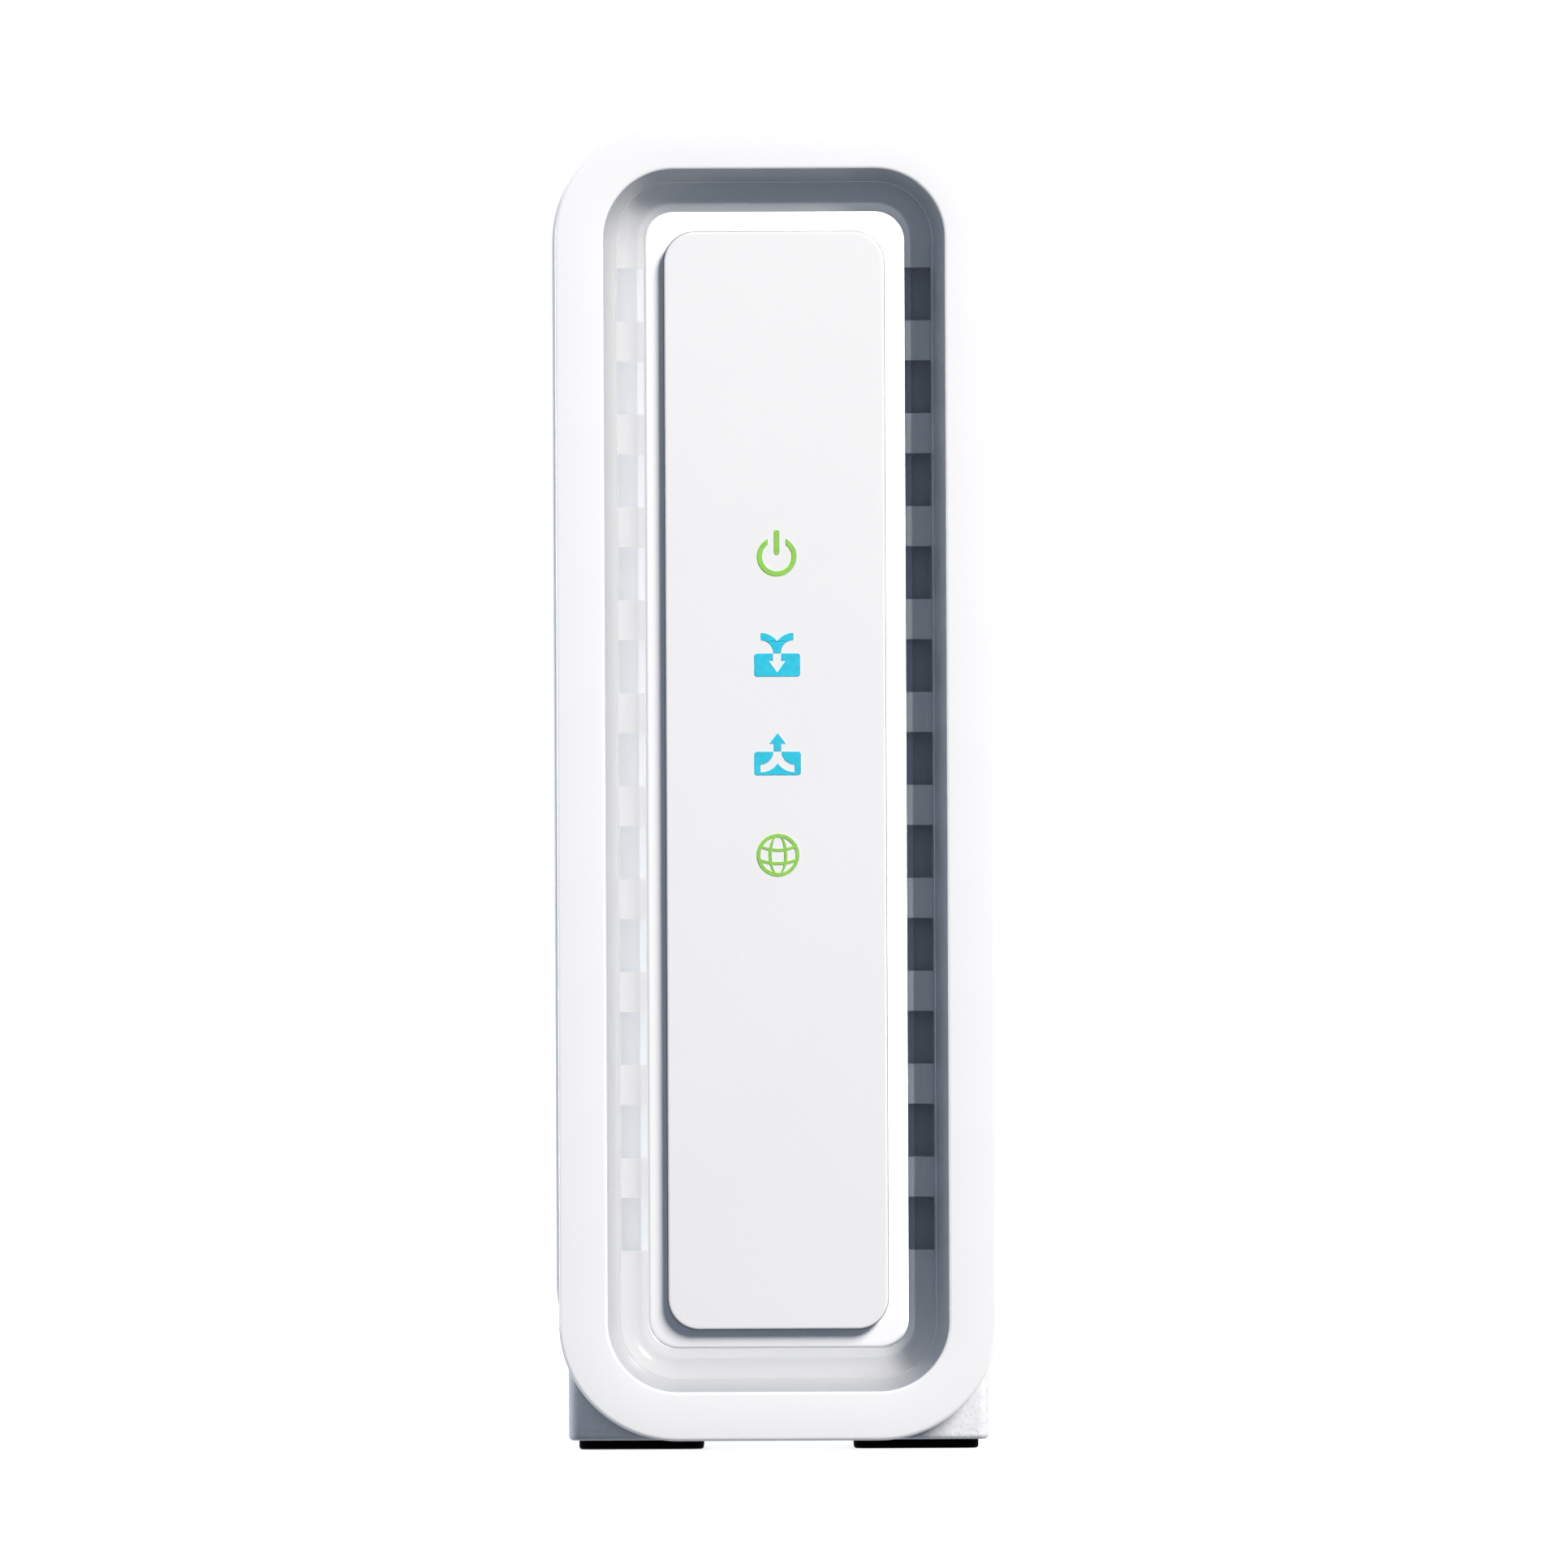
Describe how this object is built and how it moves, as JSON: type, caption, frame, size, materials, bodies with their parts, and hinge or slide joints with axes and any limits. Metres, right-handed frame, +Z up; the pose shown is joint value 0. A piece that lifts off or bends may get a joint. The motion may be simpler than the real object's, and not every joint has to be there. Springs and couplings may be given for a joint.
{
  "type": "cable modem",
  "caption": "Slim upright cable modem: flat-faced white bezel round a sunken vented channel and raised face plate, on a plinth with rubber feet; coax, Ethernet and power connectors at the back.",
  "frame": {"origin": "centre of the footprint of the whole modem's box, on the surface that it stands on", "axes": "+Z up; the front with its face plate looks along -Y; +X is to the right seen from the front, across the narrow width"},
  "size_m": [0.0444, 0.133, 0.1331],
  "materials": {
    "gloss_white": "glossy moulded white plastic",
    "satin_white": "satin white plastic with a very fine grain",
    "shell_white": "satin white moulded plastic",
    "base_white": "spark-textured light grey-white plastic",
    "rear_white": "finely textured white plastic",
    "rubber": "soft black rubber",
    "green_light": "translucent plastic, lit green",
    "cyan_light": "translucent plastic, lit cyan",
    "board_green": "glass-epoxy board under green solder mask",
    "chip_black": "moulded black epoxy",
    "thermal_pad": "soft silicone pad",
    "aluminium": "extruded and brushed",
    "tinned_steel": "tin-plated sheet steel",
    "nickel": "nickel-plated zinc and brass",
    "gold": "gold-plated contact strip",
    "black_plastic": "moulded black nylon",
    "white_insulator": "white engineering plastic",
    "screw_steel": "zinc-plated steel"
  },
  "bodies": {
    "housing": {"base": "base_white", "base_screw_1": "screw_steel", "base_screw_2": "screw_steel", "base_screw_3": "screw_steel", "base_screw_4": "screw_steel", "board_screw_1": "screw_steel", "board_screw_2": "screw_steel", "board_screw_3": "screw_steel", "board_screw_4": "screw_steel", "capacitor_1": "aluminium", "capacitor_2": "aluminium", "capacitor_3": "aluminium", "coax_connector": "nickel", "coax_insulator": "white_insulator", "coax_nut": "nickel", "coax_washer": "tinned_steel", "crystal": "tinned_steel", "ethernet_contacts": "gold", "ethernet_jack": "black_plastic", "ethernet_shield": "tinned_steel", "ethernet_transformer": "chip_black", "face_plate": "satin_white", "flash_chip": "chip_black", "foot_front_left": "rubber", "foot_front_right": "rubber", "foot_rear_left": "rubber", "foot_rear_right": "rubber", "front_bezel": "gloss_white", "heat_sink": "aluminium", "heat_sink_pin_1": "white_insulator", "heat_sink_pin_2": "white_insulator", "inductor_1": "chip_black", "inductor_2": "chip_black", "left_shell": "shell_white", "light_guide_bracket": "black_plastic", "main_board": "board_green", "memory_chip_1": "chip_black", "memory_chip_2": "chip_black", "modem_processor": "chip_black", "online_led": "green_light", "online_light_guide": "green_light", "power_jack": "black_plastic", "power_jack_pin": "nickel", "power_led": "green_light", "power_light_guide": "green_light", "rear_panel": "rear_white", "receive_led": "cyan_light", "receive_light_guide": "cyan_light", "reset_switch": "black_plastic", "right_shell": "shell_white", "send_led": "cyan_light", "send_light_guide": "cyan_light", "thermal_pad": "thermal_pad", "tuner_chip": "chip_black", "tuner_shield_frame": "tinned_steel", "tuner_shield_lid": "tinned_steel", "vent_frame": "gloss_white"},
    "reset_button": {"reset_button": "black_plastic"}
  },
  "joints": [
    {"name": "reset_press", "type": "slide", "parent": "housing", "child": "reset_button", "axis": [0, -1, 0], "range_m": [0, 0.0005], "stiffness_N_per_m": 1500, "springref_m": -0.0005}
  ]
}
